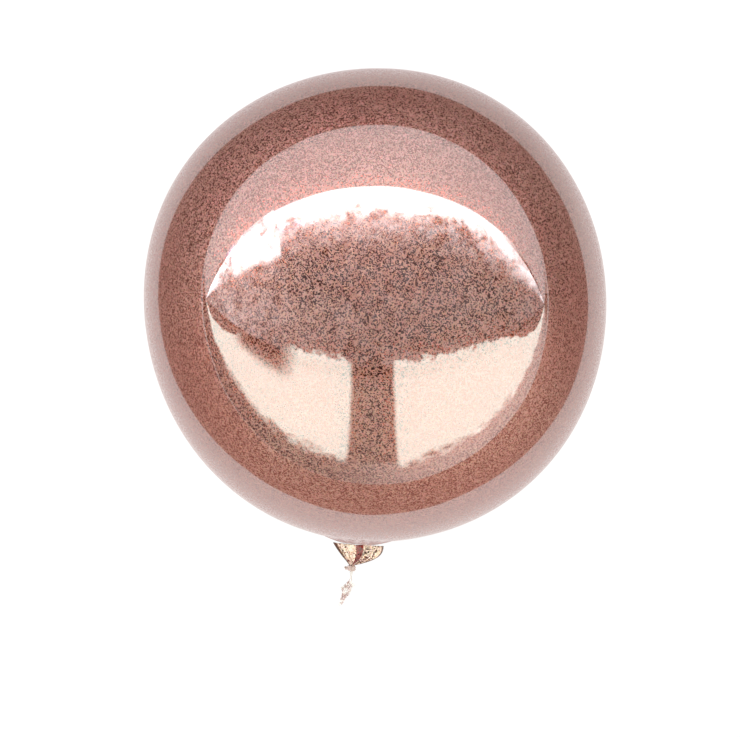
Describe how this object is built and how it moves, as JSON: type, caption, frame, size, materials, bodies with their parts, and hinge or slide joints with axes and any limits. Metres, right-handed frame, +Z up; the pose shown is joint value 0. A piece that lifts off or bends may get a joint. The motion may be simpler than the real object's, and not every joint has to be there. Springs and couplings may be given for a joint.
{
  "type": "glitter sphere balloon",
  "caption": "Round inflated balloon of mirror-like rose-gold glitter film, with a gathered film tab, a tied neck and a crumpled clear filling valve.",
  "frame": {"origin": "centre of the small flat spot on the underside that the balloon lies on", "axes": "+Z up; +Y from the tail towards the crown, along the balloon's length; -Z out of the flat spot"},
  "size_m": [0.3789, 0.4421, 0.3765],
  "materials": {
    "glitter_film": "metallised rose-gold film with fine holographic glitter, high gloss",
    "tab_film": "the same metallised film, loose and pleated, high gloss",
    "clear_thread": "clear elastic thread, wound",
    "clear_film": "thin clear film, crumpled, glossy"
  },
  "bodies": {
    "root": {"envelope": "glitter_film", "tail_tab": "tab_film", "neck_tie": "clear_thread", "valve_film": "clear_film"}
  },
  "joints": []
}
